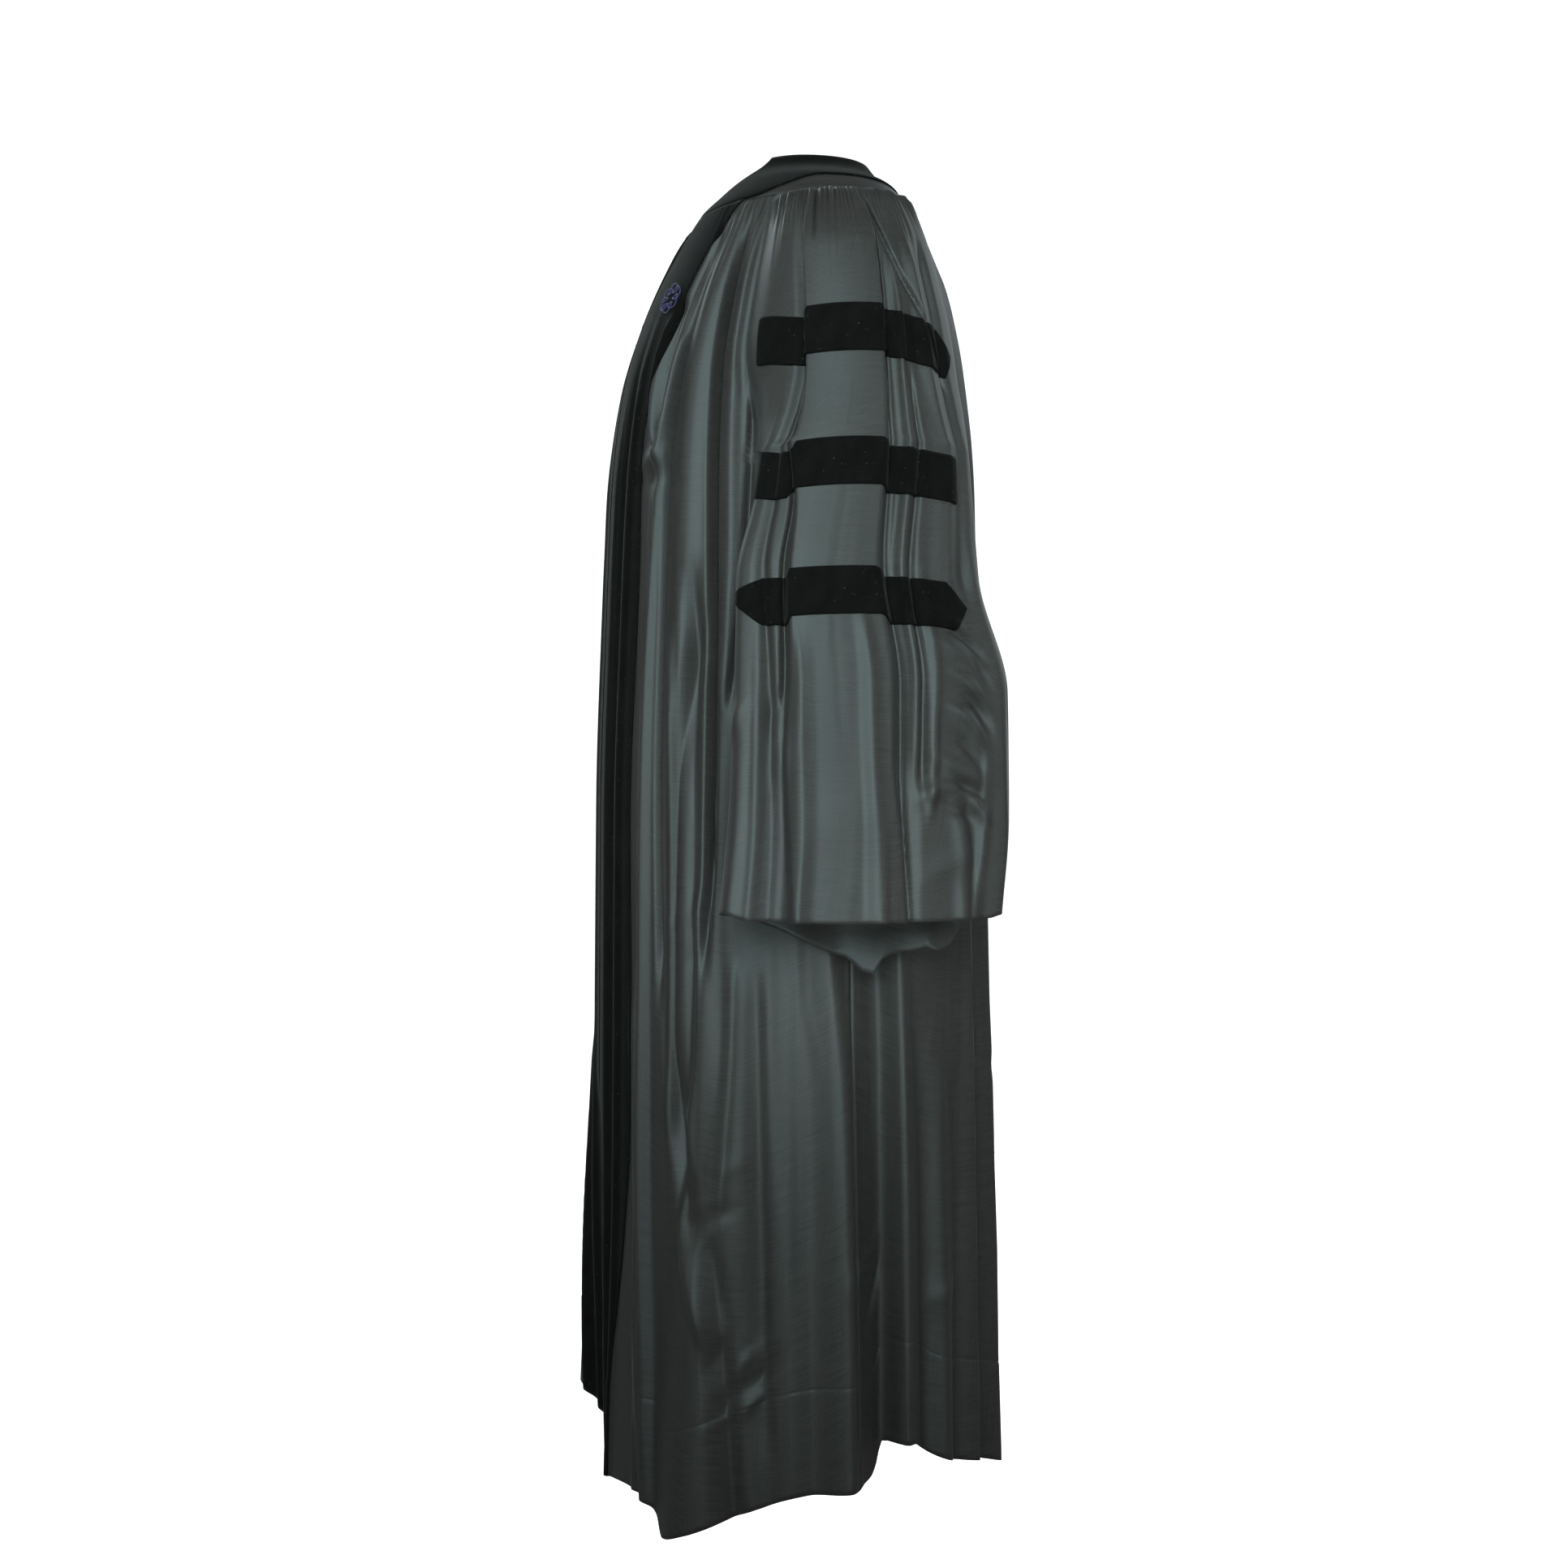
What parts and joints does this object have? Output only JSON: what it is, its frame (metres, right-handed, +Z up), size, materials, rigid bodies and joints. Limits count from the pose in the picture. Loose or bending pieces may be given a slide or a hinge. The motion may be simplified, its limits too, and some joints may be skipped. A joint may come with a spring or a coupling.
{
  "type": "graduation gown",
  "caption": "Black doctoral graduation gown, worn and hollow: full gathered body, open bell sleeves with velvet bars, velvet front facings and a small looped-cord motif on the chest",
  "frame": {"origin": "the midpoint between the shoulders at the base of the neck, where the wearer carries the gown", "axes": "+Z up, the gown's front faces -Y, the wearer's left is +X"},
  "size_m": [0.7356, 0.4508, 1.4475],
  "materials": {
    "taffeta": "black ribbed taffeta with a soft cool sheen",
    "velvet": "deep black short-pile velvet",
    "cord": "blue twisted couching cord"
  },
  "bodies": {
    "root": {"front_left": "taffeta", "front_right": "taffeta", "back": "taffeta", "yoke": "taffeta", "sleeve_left": "taffeta", "sleeve_right": "taffeta", "facing_left": "velvet", "facing_right": "velvet", "neck_facing": "velvet", "bar_left_1": "velvet", "bar_left_2": "velvet", "bar_left_3": "velvet", "bar_right_1": "velvet", "bar_right_2": "velvet", "bar_right_3": "velvet", "motif_left": "cord", "motif_right": "cord"}
  },
  "joints": []
}
